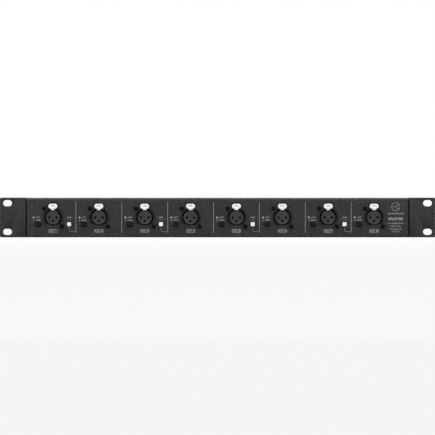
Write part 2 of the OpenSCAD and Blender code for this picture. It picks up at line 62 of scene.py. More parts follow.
# Places taken from the frame
trayLow, trayHigh = boxOf("base_tray")
coverLow, coverHigh = boxOf("top_cover")
earLow, earHigh = boxOf("right_rack_ear")
frontY = trayLow.y
backY = trayHigh.y
halfHigh = trayHigh.z
sheetThick = trayHigh.z - coverHigh.z
wallY = frontY + sheetThick
rearWallY = backY - sheetThick
channelX = [middleOf(f"input_housing_{i}").x for i in range(1, channels + 1)]
linkX = [middleOf(f"link_button_{i}").x for i in range(1, linkButtons + 1)]
liftX = [middleOf(f"lift_button_{i}").x for i in range(1, channels + 1)]
buttonZ = middleOf("lift_button_1").z
channelPitch = (channelX[-1] - channelX[0]) / (channels - 1)
insertLow, insertHigh = boxOf("output_inserts")
discRadius = (insertHigh.z - insertLow.z) / 2
outputs = 2 * channels
outputPitch = (insertHigh.x - insertLow.x - 2 * discRadius) / (outputs - 1)
outputX = [insertLow.x + discRadius + outputPitch * i for i in range(outputs)]

# Sizes that sockets and plugs share
connector = {
    "contacts": [(-4.1, 0.0), (4.1, 0.0), (0.0, -3.8)],
    "screws": [(-9.9, 10.0), (9.9, -10.0)],
    "screwHole": 2.9,
    "fitGap": 0.25,
    "flangeThick": 2.4,
    "tailHole": 4.4,
    "foot": 2.4,
    "footOut": 9.0,
    "footAngles": (90, 210, 330),
    "numberText": 1.3,
    "numberDeep": 0.12,
}

# The front's socket outline: a collar with a tower for the latch above and a key below
socketFront = {"collar": 22.4, "towerWide": 12.1, "towerTop": 16.3, "towerRound": 4.0, "keyWide": 7.0,
               "keyLow": -11.9}
cupOuter = 21.6
smoothAngle = 32


# Tools for shapes

# A capital letter's height as a share of the font size
capitalShare = 0.7


def shift(x=0.0, y=0.0, z=0.0):
    return Matrix.Translation((x, y, z))


def turn(degrees, axis):
    return Matrix.Rotation(math.radians(degrees), 4, axis)


def objectFrom(bm, name):
    mesh = bpy.data.meshes.new(name)
    bm.to_mesh(mesh)
    bm.free()
    piece = bpy.data.objects.new(name, mesh)
    bpy.context.scene.collection.objects.link(piece)
    return piece


def applyModifiers(piece):
    graph = bpy.context.evaluated_depsgraph_get()
    made = bpy.data.meshes.new_from_object(piece.evaluated_get(graph))
    piece.modifiers.clear()
    old = piece.data
    piece.data = made
    bpy.data.meshes.remove(old)
    return piece


def combine(piece, bm, operation):
    tool = objectFrom(bm, "tool")
    step = piece.modifiers.new("combine", "BOOLEAN")
    step.operation = operation
    step.solver = "EXACT"
    step.object = tool
    applyModifiers(piece)
    bpy.data.objects.remove(tool)
    return piece


def cut(piece, bm):
    return combine(piece, bm, "DIFFERENCE")


def fuse(piece, bm):
    return combine(piece, bm, "UNION")


def soften(piece, width, segments=2, angle=40):
    step = piece.modifiers.new("soften", "BEVEL")
    step.width = width
    step.segments = segments
    step.limit_method = "ANGLE"
    step.angle_limit = math.radians(angle)
    step.use_clamp_overlap = True
    return applyModifiers(piece)


def addRod(bm, diameter, y0, y1, x=0.0, z=0.0, steps=72, endDiameter=None):
    end = diameter if endDiameter is None else endDiameter
    place = shift(x, (y0 + y1) / 2, z) @ turn(-90, "X")
    bmesh.ops.create_cone(bm, cap_ends=True, segments=steps, radius1=diameter / 2,
                          radius2=end / 2, depth=y1 - y0, matrix=place)


def addBox(bm, low, high):
    size = Vector(high) - Vector(low)
    middle = (Vector(high) + Vector(low)) / 2
    bmesh.ops.create_cube(bm, size=1, matrix=shift(*middle) @ Matrix.Diagonal((*size, 1)))


def arcPoints(cx, cz, radius, start, end, steps):
    angles = [math.radians(start + (end - start) * k / steps) for k in range(steps + 1)]
    return [(cx + radius * math.cos(a), cz + radius * math.sin(a)) for a in angles]


def roundOutline(width, height, radius, steps=10, cx=0.0, cz=0.0):
    w, h = width / 2 - radius, height / 2 - radius
    corners = [(w, h, 0), (-w, h, 90), (-w, -h, 180), (w, -h, 270)]
    points = []
    for x, z, start in corners:
        points += arcPoints(cx + x, cz + z, radius, start, start + 90, steps)
    return points


def addSlab(bm, outline, y0, y1):
    face = bm.faces.new([bm.verts.new((x, y0, z)) for x, z in outline])
    grown = bmesh.ops.extrude_face_region(bm, geom=[face])
    moved = [v for v in grown["geom"] if isinstance(v, bmesh.types.BMVert)]
    bmesh.ops.translate(bm, verts=moved, vec=(0, y1 - y0, 0))
    bmesh.ops.remove_doubles(bm, verts=bm.verts, dist=1e-5)
    bmesh.ops.recalc_face_normals(bm, faces=bm.faces)


def lathe(profile, steps):
    bm = bmesh.new()
    verts = [bm.verts.new((radius, y, 0)) for radius, y in profile]
    edges = [bm.edges.new(pair) for pair in zip(verts, verts[1:])]
    bmesh.ops.spin(bm, geom=verts + edges, cent=(0, 0, 0), axis=(0, 1, 0),
                   angle=2 * math.pi, steps=steps, use_merge=True)
    bmesh.ops.remove_doubles(bm, verts=bm.verts, dist=1e-5)
    bmesh.ops.recalc_face_normals(bm, faces=bm.faces)
    return bm


def foldedSheet(name, corners, length, thick, foldRadius, place):
    # A path of corners drawn in X and Z and run along Y, rounded at its folds, then thickened inwards.
    bm = bmesh.new()
    verts = [bm.verts.new((a, 0, b)) for a, b in corners]
    edges = [bm.edges.new(pair) for pair in zip(verts, verts[1:])]
    grown = bmesh.ops.extrude_edge_only(bm, edges=edges)
    moved = [v for v in grown["geom"] if isinstance(v, bmesh.types.BMVert)]
    bmesh.ops.translate(bm, verts=moved, vec=(0, length, 0))
    folds = [e for e in bm.edges if len(e.link_faces) == 2]
    bmesh.ops.bevel(bm, geom=folds, offset=foldRadius, offset_type="OFFSET", segments=8,
                    profile=0.5, affect="EDGES", material=-1)
    bmesh.ops.recalc_face_normals(bm, faces=bm.faces)
    sheet = objectFrom(bm, name)
    wall = sheet.modifiers.new("wall", "SOLIDIFY")
    wall.thickness = thick
    wall.offset = -1
    wall.use_even_offset = True
    applyModifiers(sheet)
    sheet.data.transform(place)
    return sheet


def copiesOf(piece, places, name):
    bm = bmesh.new()
    for place in places:
        one = piece.data.copy()
        one.transform(place)
        bm.from_mesh(one)
        bpy.data.meshes.remove(one)
    return objectFrom(bm, name)


def lettering(words, height, depth, spacing=1.0, weight=0.0):
    curve = bpy.data.curves.new("lettering", "FONT")
    curve.body = words
    curve.size = height / capitalShare
    curve.space_character = spacing
    curve.align_x = "CENTER"
    curve.align_y = "CENTER"
    curve.extrude = depth / 2
    curve.offset = weight
    curve.resolution_u = 3
    made = bpy.data.objects.new("lettering", curve)
    bpy.context.scene.collection.objects.link(made)
    graph = bpy.context.evaluated_depsgraph_get()
    mesh = bpy.data.meshes.new_from_object(made.evaluated_get(graph))
    bpy.data.objects.remove(made)
    bpy.data.curves.remove(curve)
    return mesh


def addMesh(bm, mesh, place):
    mesh.transform(place)
    bm.from_mesh(mesh)
    bpy.data.meshes.remove(mesh)


def addInkLine(bm, points, width, depth):
    # A printed line: the path stands as a strip and is widened on both sides.
    line = bmesh.new()
    verts = [line.verts.new((x, frontY, z)) for x, z in points]
    edges = [line.edges.new(pair) for pair in zip(verts, verts[1:])]
    grown = bmesh.ops.extrude_edge_only(line, edges=edges)
    moved = [v for v in grown["geom"] if isinstance(v, bmesh.types.BMVert)]
    bmesh.ops.translate(line, verts=moved, vec=(0, -depth, 0))
    bmesh.ops.remove_doubles(line, verts=line.verts, dist=1e-4)
    bmesh.ops.recalc_face_normals(line, faces=line.faces)
    strip = objectFrom(line, "strip")
    wide = strip.modifiers.new("wide", "SOLIDIFY")
    wide.thickness = width
    wide.offset = 0
    wide.use_even_offset = True
    applyModifiers(strip)
    bm.from_mesh(strip.data)
    bpy.data.objects.remove(strip)


def finished(piece, material, body, nodes=()):
    mesh = piece.data
    bm = bmesh.new()
    bm.from_mesh(mesh)
    bmesh.ops.remove_doubles(bm, verts=bm.verts, dist=1e-4)
    bmesh.ops.dissolve_degenerate(bm, edges=bm.edges, dist=1e-4)
    bm.to_mesh(mesh)
    bm.free()
    mesh.transform(Matrix.Scale(mm, 4))
    mesh.polygons.foreach_set("use_smooth", [True] * len(mesh.polygons))
    mesh.set_sharp_from_angle(angle=math.radians(smoothAngle))
    mesh.materials.clear()
    mesh.materials.append(material)
    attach(piece, body)
    if nodes:
        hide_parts(*nodes)
    return piece


# Shared effects, as node groups

def effectGroup(name, inputs, outputs):
    group = bpy.data.node_groups.new(name, "ShaderNodeTree")
    for label, kind, value in inputs:
        made = group.interface.new_socket(name=label, in_out="INPUT", socket_type=kind)
        if value is not None:
            made.default_value = value
    for label, kind in outputs:
        group.interface.new_socket(name=label, in_out="OUTPUT", socket_type=kind)
    return group, group.nodes.new("NodeGroupInput"), group.nodes.new("NodeGroupOutput")


def noise(tree, vector, scale, detail=3.0, roughness=0.55):
    node = tree.nodes.new("ShaderNodeTexNoise")
    node.inputs["Detail"].default_value = detail
    node.inputs["Roughness"].default_value = roughness
    tree.links.new(vector, node.inputs["Vector"])
    if isinstance(scale, (int, float)):
        node.inputs["Scale"].default_value = scale
    else:
        tree.links.new(scale, node.inputs["Scale"])
    return node.outputs["Fac"]


def maths(tree, operation, a, b=None, clamp=False):
    node = tree.nodes.new("ShaderNodeMath")
    node.operation = operation
    node.use_clamp = clamp
    for socket, value in zip(node.inputs, (a, b)):
        if value is None:
            continue
        if isinstance(value, (int, float)):
            socket.default_value = value
        else:
            tree.links.new(value, socket)
    return node.outputs[0]


def ramp(tree, value, low, high):
    node = tree.nodes.new("ShaderNodeMapRange")
    node.inputs["From Min"].default_value = low
    node.inputs["From Max"].default_value = high
    tree.links.new(value, node.inputs["Value"])
    return node.outputs["Result"]


def buildGrain():
    group, ins, outs = effectGroup(
        "fineGrain",
        [("Vector", "NodeSocketVector", None), ("Scale", "NodeSocketFloat", 2500.0)],
        [("Height", "NodeSocketFloat"), ("Patches", "NodeSocketFloat")])
    fine = noise(group, ins.outputs["Vector"], ins.outputs["Scale"], 2.0, 0.5)
    coarse = noise(group, ins.outputs["Vector"], maths(group, "MULTIPLY", ins.outputs["Scale"], 0.3), 2.0)
    both = maths(group, "ADD", maths(group, "MULTIPLY", fine, 0.92), maths(group, "MULTIPLY", coarse, 0.08))
    patches = noise(group, ins.outputs["Vector"], 38.0, 4.0)
    group.links.new(both, outs.inputs["Height"])
    group.links.new(ramp(group, patches, 0.3, 0.7), outs.inputs["Patches"])
    return group


def buildWear():
    group, ins, outs = effectGroup(
        "edgeWear",
        [("Vector", "NodeSocketVector", None), ("Amount", "NodeSocketFloat", 0.3)],
        [("Mask", "NodeSocketFloat")])
    edge = group.nodes.new("ShaderNodeNewGeometry").outputs["Pointiness"]
    sharp = ramp(group, edge, 0.52, 0.62)
    broken = ramp(group, noise(group, ins.outputs["Vector"], 420.0, 4.0), 0.45, 0.7)
    mask = maths(group, "MULTIPLY", maths(group, "MULTIPLY", sharp, broken), ins.outputs["Amount"], True)
    group.links.new(mask, outs.inputs["Mask"])
    return group


def buildDust():
    group, ins, outs = effectGroup(
        "lightDust",
        [("Vector", "NodeSocketVector", None), ("Amount", "NodeSocketFloat", 0.1)],
        [("Mask", "NodeSocketFloat")])
    normal = group.nodes.new("ShaderNodeNewGeometry").outputs["Normal"]
    split = group.nodes.new("ShaderNodeSeparateXYZ")
    group.links.new(normal, split.inputs[0])
    upward = ramp(group, split.outputs["Z"], 0.2, 1.0)
    cloudy = ramp(group, noise(group, ins.outputs["Vector"], 60.0, 6.0), 0.35, 0.75)
    mask = maths(group, "MULTIPLY", maths(group, "MULTIPLY", upward, cloudy), ins.outputs["Amount"], True)
    group.links.new(mask, outs.inputs["Mask"])
    return group


grainGroup = buildGrain()
wearGroup = buildWear()
dustGroup = buildDust()


def mixColor(tree, factor, a, b):
    node = tree.nodes.new("ShaderNodeMix")
    node.data_type = "RGBA"
    tree.links.new(factor, node.inputs[0])
    for socket, value in ((node.inputs[6], a), (node.inputs[7], b)):
        if isinstance(value, tuple):
            socket.default_value = value
        else:
            tree.links.new(value, socket)
    return node.outputs[2]


def tinted(color, factor):
    return tuple(min(1.0, c * factor) for c in color[:3]) + (1.0,)


dustColor = (0.32, 0.31, 0.29, 1.0)


def surface(name, s):
    # One finish: patchy colour, grain in the bump and roughness, worn edges and a little dust on top.
    material = bpy.data.materials.new(name)
    material.use_nodes = True
    tree = material.node_tree
    shader = tree.nodes["Principled BSDF"]
    where = tree.nodes.new("ShaderNodeTexCoord").outputs["Object"]
    grain = tree.nodes.new("ShaderNodeGroup")
    grain.node_tree = grainGroup
    grain.inputs["Scale"].default_value = s["grainScale"]
    tree.links.new(where, grain.inputs["Vector"])
    wear = tree.nodes.new("ShaderNodeGroup")
    wear.node_tree = wearGroup
    wear.inputs["Amount"].default_value = s.get("wear", 0.2)
    tree.links.new(where, wear.inputs["Vector"])
    dust = tree.nodes.new("ShaderNodeGroup")
    dust.node_tree = dustGroup
    dust.inputs["Amount"].default_value = s.get("dust", 0.05)
    tree.links.new(where, dust.inputs["Vector"])
    spread = s.get("spread", 0.08)
    darker, lighter = tinted(s["color"], 1 - spread), tinted(s["color"], 1 + spread)
    color = mixColor(tree, grain.outputs["Patches"], darker, lighter)
    color = mixColor(tree, wear.outputs["Mask"], color, tuple(s.get("wornColor", (0.3, 0.3, 0.3))) + (1.0,))
    color = mixColor(tree, dust.outputs["Mask"], color, dustColor)
    tree.links.new(color, shader.inputs["Base Color"])
    rough = ramp(tree, grain.outputs["Patches"], 0.0, 1.0)
    low, high = s["rough"]
    rough.node.inputs["To Min"].default_value = low
    rough.node.inputs["To Max"].default_value = high
    tree.links.new(rough, shader.inputs["Roughness"])
    shader.inputs["Metallic"].default_value = s.get("metallic", 0.0)
    shader.inputs["Specular IOR Level"].default_value = s.get("specular", 0.5)
    shader.inputs["Coat Weight"].default_value = s.get("coat", 0.0)
    shader.inputs["Coat Roughness"].default_value = s.get("coatRough", 0.2)
    bump = tree.nodes.new("ShaderNodeBump")
    bump.inputs["Strength"].default_value = s.get("bump", 0.4)
    bump.inputs["Distance"].default_value = s.get("depth", 0.03) * mm
    tree.links.new(grain.outputs["Height"], bump.inputs["Height"])
    tree.links.new(bump.outputs["Normal"], shader.inputs["Normal"])
    return material


# Case

caseFinish = {"color": (0.0146, 0.0147, 0.0149), "grainScale": 3000.0, "rough": (0.5, 0.56), "spread": 0.04,
              "wear": 0.25, "wornColor": (0.12, 0.12, 0.122), "dust": 0.015, "bump": 0.4, "depth": 0.04,
              "specular": 0.27}
casePaint = surface("casePaint", caseFinish)

traySizes = {"foldRadius": 2.4, "lip": 12.0, "buttonHole": 6.0, "buttonRound": 0.6, "wallTop": 17.0,
             "edge": 0.18}


def makeTray(s):
    front = socketFront
    rearTop = coverHigh.z - sheetThick
    corners = [(frontY + s["foldRadius"] + s["lip"], halfHigh), (frontY, halfHigh), (frontY, -halfHigh),
               (backY, -halfHigh), (backY, rearTop), (backY - s["foldRadius"] - s["lip"], rearTop)]
    place = shift(trayHigh.x, 0, 0) @ turn(90, "Z")
    tray = foldedSheet("caseTray", corners, 2 * trayHigh.x, sheetThick, s["foldRadius"], place)
    gap = connector["fitGap"]
    circles = bmesh.new()
    towers = bmesh.new()
    keys = bmesh.new()
    small = bmesh.new()
    for x in channelX:
        addRod(circles, front["collar"] + 2 * gap, frontY - 1, wallY + 1, x, steps=96)
        outline = roundOutline(front["towerWide"] + 2 * gap, front["towerTop"] + 2 * gap, front["towerRound"],
                               cx=x, cz=front["towerTop"] / 2)
        addSlab(towers, outline, frontY - 1.1, wallY + 1.1)
        addBox(keys, (x - front["keyWide"] / 2 - gap, frontY - 1.2, front["keyLow"] - gap),
               (x + front["keyWide"] / 2 + gap, wallY + 1.2, 0))
        for dx, dz in connector["screws"]:
            addRod(small, connector["screwHole"], frontY - 1, wallY + 1, x + dx, dz, 32)
    for x in liftX + linkX:
        outline = roundOutline(s["buttonHole"], s["buttonHole"], s["buttonRound"], 5, x, buttonZ)
        addSlab(small, outline, frontY - 1, wallY + 1)
    for x in outputX:
        addRod(small, cupOuter + 2 * gap, rearWallY - 1, backY + 1, x, steps=96)
        for dx, dz in connector["screws"]:
            addRod(small, connector["screwHole"], rearWallY - 1, backY + 1, x + dx, dz, 32)
    for tool in (circles, towers, keys, small):
        cut(tray, tool)
    corner = bmesh.new()
    for side in (-1, 1):
        x0, x1 = sorted((side * (trayHigh.x - s["foldRadius"]), side * (trayHigh.x + 1)))
        addBox(corner, (x0, backY - s["foldRadius"] - s["lip"] - 1, rearTop - s["foldRadius"]),
               (x1, backY + 1, rearTop + 1))
    cut(tray, corner)
    soften(tray, s["edge"])
    walls = bmesh.new()
    for side in (-1, 1):
        x0, x1 = sorted((side * trayHigh.x, side * (trayHigh.x - sheetThick)))
        addBox(walls, (x0, s["foldRadius"], -halfHigh + sheetThick - 0.02),
               (x1, rearWallY - s["foldRadius"], s["wallTop"]))
    fuse(tray, walls)
    return finished(tray, casePaint, "chassis", ["base_tray"])


def makeCover(s):
    corners = [(-coverHigh.x, -halfHigh), (-coverHigh.x, coverHigh.z), (coverHigh.x, coverHigh.z),
               (coverHigh.x, -halfHigh)]
    cover = foldedSheet("caseCover", corners, coverHigh.y - coverLow.y, sheetThick, s["foldRadius"],
                        shift(0, coverLow.y, 0))
    soften(cover, s["edge"])
    return finished(cover, casePaint, "chassis", ["top_cover"])


earSizes = {"thick": 2.0, "foldRadius": 2.3, "cornerRadius": 2.0, "slotX": 232.55, "slotZ": 15.875,
            "slotLong": 9.8, "slotWide": 6.8, "screwHole": 4.5, "screwY": (10.0, 46.0),
            "screwZ": (-8.0, 12.0), "edge": 0.2}
earScrew = {"head": 7.8, "high": 1.9, "shank": 4.0, "long": 7.5, "recess": 4.2}


def makeEar(s, side):
    corners = [(earLow.x, earHigh.y), (earLow.x, frontY), (earHigh.x, frontY)]
    flat = Matrix(((1, 0, 0, 0), (0, 0, 1, 0), (0, 1, 0, earLow.z), (0, 0, 0, 1)))
    ear = foldedSheet("earPlate", corners, earHigh.z - earLow.z, s["thick"], s["foldRadius"], flat)
    bm = bmesh.new()
    bm.from_mesh(ear.data)
    bmesh.ops.recalc_face_normals(bm, faces=bm.faces)
    # The two outer corners are rounded.
    outer = [e for e in bm.edges
             if all(abs(v.co.x - earHigh.x) < 0.01 for v in e.verts)
             and abs(e.verts[0].co.y - e.verts[1].co.y) > 1
             and abs(e.verts[0].co.z - e.verts[1].co.z) < 0.01]
    bmesh.ops.bevel(bm, geom=outer, offset=s["cornerRadius"], offset_type="OFFSET", segments=8,
                    profile=0.5, affect="EDGES", material=-1)
    bm.to_mesh(ear.data)
    bm.free()
    tools = bmesh.new()
    for z in (-s["slotZ"], s["slotZ"]):
        outline = roundOutline(s["slotLong"], s["slotWide"], s["slotWide"] / 2 - 0.001, 14, s["slotX"], z)
        addSlab(tools, outline, frontY - 1, 1)
    for y in s["screwY"]:
        for z in s["screwZ"]:
            place = shift(earLow.x + s["thick"] / 2, y, z) @ turn(90, "Y")
            bmesh.ops.create_cone(tools, cap_ends=True, segments=48, radius1=s["screwHole"] / 2,
                                  radius2=earScrew["head"] / 2 + 0.05, depth=s["thick"] + 0.04, matrix=place)
    cut(ear, tools)
    soften(ear, s["edge"])
    if side < 0:
        mirrored = bmesh.new()
        mirrored.from_mesh(ear.data)
        bmesh.ops.scale(mirrored, verts=mirrored.verts, vec=(-1, 1, 1))
        bmesh.ops.reverse_faces(mirrored, faces=mirrored.faces)
        mirrored.to_mesh(ear.data)
        mirrored.free()
    node = "right_rack_ear" if side > 0 else "left_rack_ear"
    ear.name = "rackEarRight" if side > 0 else "rackEarLeft"
    return finished(ear, casePaint, "chassis", [node])


makeTray(traySizes)
makeCover(traySizes)
for side in (-1, 1):
    makeEar(earSizes, side)
print("case made")


# Inputs

socketFinish = {"color": (0.0066, 0.0066, 0.0068), "grainScale": 3200.0, "rough": (0.36, 0.48), "spread": 0.1,
                "wear": 0.15, "wornColor": (0.05, 0.05, 0.05), "bump": 0.3, "depth": 0.02, "specular": 0.24,
                "dust": 0.0}
socketPlastic = surface("socketPlastic", socketFinish)
insertFinish = {"color": (0.031, 0.031, 0.0315), "grainScale": 3600.0, "rough": (0.5, 0.62), "spread": 0.08,
                "wear": 0.1, "wornColor": (0.08, 0.08, 0.08), "bump": 0.3, "depth": 0.02, "specular": 0.3,
                "dust": 0.0}
insertPlastic = surface("insertPlastic", insertFinish)
goldFinish = {"color": (0.78, 0.55, 0.22), "grainScale": 4200.0, "rough": (0.2, 0.34), "metallic": 1.0,
              "wear": 0.0, "bump": 0.1, "depth": 0.01}
contactGold = surface("contactGold", goldFinish)
# Tin for the input contacts, made very dark as painted shade for the shade inside the socket holes.
tinAndShadeFinish = {"color": (0.1, 0.1, 0.1), "grainScale": 3600.0, "rough": (0.35, 0.45), "metallic": 1.0,
             "wear": 0.1, "bump": 0.1, "dust": 0.0}
contactTinAndShade = surface("contactTinAndShade", tinAndShadeFinish)
shadeFinish = {"color": (0.003, 0.003, 0.003), "grainScale": 3000.0, "rough": (0.85, 0.95), "wear": 0.0,
               "specular": 0.05, "dust": 0.0, "bump": 0.1}
contactShade = surface("contactShade", shadeFinish)

socketSizes = {**socketFront, "bore": 19.1, "insert": 15.9, "flangeWide": 24.8, "flangeHigh": 26.4,
               "towerBack": 11.95, "bodyEnd": 16.5, "seat": 14.0, "boss": 5.6, "bossDeep": 10.0,
               "tabWide": 9.9, "tabHigh": 5.6, "tabZ": 12.4, "tabGap": 0.4, "pocketFloor": 1.4,
               "stemWide": 6.4, "stemHigh": 3.4, "stemEnd": 10.15, "hookWide": 5.3, "hookLow": 7.35,
               "grooveHalf": 4.1, "grooveLow": -11.35, "grooveHigh": -10.7, "grooveDeep": 0.7,
               "mouth": 2.7, "mouthDeep": 1.0, "hole": 3.2, "edge": 0.22}


def addFeet(bm, y):
    # Three feet stand out behind each body, towards its board.
    out = connector["footOut"]
    for degrees in connector["footAngles"]:
        angle = math.radians(degrees)
        addRod(bm, connector["foot"], y - 1, y + 1, out * math.cos(angle), out * math.sin(angle), 24)


def numbered(piece, numbers, y, facing):
    # Small raised numbers stand beside the contacts.
    marks = bmesh.new()
    marks.from_mesh(piece.data)
    for words, x, z in numbers:
        mesh = lettering(words, connector["numberText"], connector["numberDeep"])
        addMesh(marks, mesh, shift(x, y, z) @ facing)
    marks.to_mesh(piece.data)
    marks.free()
    return piece


def makeSocket(s):
    face = boxOf("input_housing_1")[0].y
    bm = bmesh.new()
    addRod(bm, s["collar"], face, s["bodyEnd"], steps=96)
    housing = objectFrom(bm, "inputHousing")
    parts = bmesh.new()
    outline = roundOutline(s["towerWide"], s["towerTop"], s["towerRound"], cz=s["towerTop"] / 2)
    addSlab(parts, outline, face, wallY + 0.001)
    fuse(housing, parts)
    parts = bmesh.new()
    addBox(parts, (-s["keyWide"] / 2, face, s["keyLow"]), (s["keyWide"] / 2, wallY + 0.5, -2))
    fuse(housing, parts)
    parts = bmesh.new()
    outline = roundOutline(s["flangeWide"], s["flangeHigh"], 2.0)
    addSlab(parts, outline, wallY, wallY + connector["flangeThick"])
    fuse(housing, parts)
    parts = bmesh.new()
    addBox(parts, (-s["towerWide"] / 2, wallY, 1), (s["towerWide"] / 2, s["towerBack"], s["towerTop"]))
    fuse(housing, parts)
    parts = bmesh.new()
    for x, z in connector["screws"]:
        addRod(parts, s["boss"], wallY + 0.3, wallY + s["bossDeep"], x, z, 40)
    fuse(housing, parts)
    parts = bmesh.new()
    addFeet(parts, s["bodyEnd"])
    fuse(housing, parts)
    # The bore opens with a short chamfer, and a step holds the insert's base.
    tools = bmesh.new()
    addRod(tools, s["bore"] + 2.2, face - 0.5, face + 1.6, steps=96, endDiameter=s["bore"] - 2)
    cut(housing, tools)
    tools = bmesh.new()
    addRod(tools, s["bore"], face - 1, s["seat"], steps=96)
    cut(housing, tools)
    tools = bmesh.new()
    pocket = roundOutline(s["tabWide"] + 2 * s["tabGap"], s["tabHigh"] + 2 * s["tabGap"],
                          s["tabHigh"] / 2 + s["tabGap"] - 0.001, 14, 0, s["tabZ"])
    addSlab(tools, pocket, face - 1, s["pocketFloor"])
    cut(housing, tools)
    tools = bmesh.new()
    addBox(tools, (-s["hookWide"] / 2, face - 1.1, s["hookLow"]),
           (s["hookWide"] / 2, s["pocketFloor"] - 0.001, s["tabZ"]))
    cut(housing, tools)
    tools = bmesh.new()
    addBox(tools, (-s["grooveHalf"], face - 1, s["grooveLow"]),
           (s["grooveHalf"], face + s["grooveDeep"], s["grooveHigh"]))
    cut(housing, tools)
    tools = bmesh.new()
    addBox(tools, (-s["stemWide"] / 2, 0, s["tabZ"] - s["stemHigh"] / 2),
           (s["stemWide"] / 2, s["stemEnd"], s["tabZ"] + s["stemHigh"] / 2))
    for x, z in connector["screws"]:
        addRod(tools, connector["screwHole"], wallY - 1, wallY + s["bossDeep"] - 0.6, x, z, 24)
    for x, z in connector["contacts"]:
        addRod(tools, connector["tailHole"], s["seat"] - 1, s["bodyEnd"] + 1, x, z, 24)
    cut(housing, tools)
    soften(housing, s["edge"])
    return housing


def makeInsert(s):
    front = boxOf("input_inserts")[0].y
    radius = s["insert"] / 2
    base = s["bore"] / 2 - 0.05
    profile = [(0, front + 0.35), (radius - 1.1, front + 0.35), (radius - 0.9, front), (radius - 0.35, front),
               (radius, front + 0.35), (radius, s["seat"] - 2), (base, s["seat"] - 2), (base, s["seat"]),
               (0, s["seat"])]
    insert = objectFrom(lathe(profile, 96), "insertMaster")
    tools = bmesh.new()
    for x, z in connector["contacts"]:
        addRod(tools, s["mouth"], front - 1, front + s["mouthDeep"] + 1, x, z, 40)
    cut(insert, tools)
    tools = bmesh.new()
    for x, z in connector["contacts"]:
        addRod(tools, s["hole"], front + s["mouthDeep"], s["seat"] + 1, x, z, 40)
    cut(insert, tools)
    soften(insert, 0.1)
    numbers = [("2", -4.1, 3.1), ("1", 4.1, 3.1), ("3", 0.0, -0.9)]
    return numbered(insert, numbers, front + 0.33, turn(90, "X"))


def makeContact(s):
    front, back = (v.y for v in boxOf("input_contacts"))
    profile = [(1.15, front + 0.2), (1.3, front), (1.42, front), (1.5, front + 0.1), (1.5, s["seat"]),
               (2.0, s["seat"]), (2.0, s["seat"] + 0.8), (0.5, s["seat"] + 0.8), (0.5, back), (0, back)]
    inner = [(0, s["seat"] - 3), (1.15, s["seat"] - 3)]
    return objectFrom(lathe(inner + profile, 32), "contactMaster")


def makeBoreShade(s):
    # A dark rod fills the deep end of each contact's bore: painted shade.
    front = boxOf("input_contacts")[0].y
    bm = bmesh.new()
    addRod(bm, 2.24, front + 0.4, s["seat"] - 3.05, steps=32)
    return objectFrom(bm, "boreShadeMaster")


socket = makeSocket(socketSizes)
for i, x in enumerate(channelX, start=1):
    piece = copiesOf(socket, [shift(x)], f"inputHousing{i}")
    finished(piece, socketPlastic, "chassis", [f"input_housing_{i}"])
insert = makeInsert(socketSizes)
contact = makeContact(socketSizes)
contactPlaces = [shift(x + dx, 0, dz) for x in channelX for dx, dz in connector["contacts"]]
finished(copiesOf(insert, [shift(x) for x in channelX], "inputInserts"),
         insertPlastic, "chassis", ["input_inserts"])
# The input contacts' darkened tin is partly painted shade.
finished(copiesOf(contact, contactPlaces, "inputContacts"),
         contactTinAndShade, "chassis", ["input_contacts"])
# Dark rods in the contacts' bores are painted shade.
boreShadeRod = makeBoreShade(socketSizes)
finished(copiesOf(boreShadeRod, contactPlaces, "inputBoreShades"), contactShade, "chassis")
for master in (socket, insert, contact, boreShadeRod):
    bpy.data.objects.remove(master)
print("inputs made")


# Latches

latchFinish = {"color": (0.72, 0.72, 0.715), "grainScale": 3000.0, "rough": (0.24, 0.34), "spread": 0.03,
               "metallic": 0.55, "wear": 0.2, "wornColor": (0.55, 0.54, 0.5), "dust": 0.0, "bump": 0.15,
               "depth": 0.015}
latchMetal = surface("latchMetal", latchFinish)
markFinish = {"color": (0.3, 0.3, 0.3), "grainScale": 3000.0, "rough": (0.5, 0.6), "wear": 0.0, "bump": 0.1}
latchMark = surface("latchMark", markFinish)

pushMark = {"words": "PUSH", "text": 1.5, "thick": 0.2, "sink": 0.12, "spacing": 1.05}
latchSizes = {"wide": 9.9, "high": 5.6, "middle": 12.4, "thick": 2.7, "hookLow": 8.35, "hookWide": 4.5,
              "neck": 3.0, "neckTop": 9.55, "stemWide": 6.0, "stemHigh": 3.0, "edge": 0.3, "dishRadius": 24.0,
              "dish": 0.175}


def makeLatch(s):
    face, back = (v.y for v in boxOf("input_latch_1"))
    rear = face + s["thick"]
    bm = bmesh.new()
    addSlab(bm, roundOutline(s["wide"], s["high"], s["high"] / 2 - 0.001, 16, 0, s["middle"]), face, rear)
    latch = objectFrom(bm, "latchMaster")
    bm = bmesh.new()
    foot, neck = s["hookWide"] / 2, s["neck"] / 2
    hook = [(-foot, s["hookLow"]), (foot, s["hookLow"]), (neck, s["neckTop"]), (neck, s["middle"]),
            (-neck, s["middle"]), (-neck, s["neckTop"])]
    addSlab(bm, hook, face + 0.001, rear - 0.001)
    fuse(latch, bm)
    bm = bmesh.new()
    addBox(bm, (-s["stemWide"] / 2, rear - 0.5, s["middle"] - s["stemHigh"] / 2),
           (s["stemWide"] / 2, back, s["middle"] + s["stemHigh"] / 2))
    fuse(latch, bm)
    soften(latch, s["edge"], 4)
    # A shallow dish in the push face takes the fingertip.
    bm = bmesh.new()
    place = shift(0, face - s["dishRadius"], s["middle"]) @ Matrix.Diagonal((1.0, 1.0, 0.6, 1.0))
    bmesh.ops.create_icosphere(bm, subdivisions=5, radius=s["dishRadius"] + s["dish"], matrix=place)
    cut(latch, bm)
    return latch


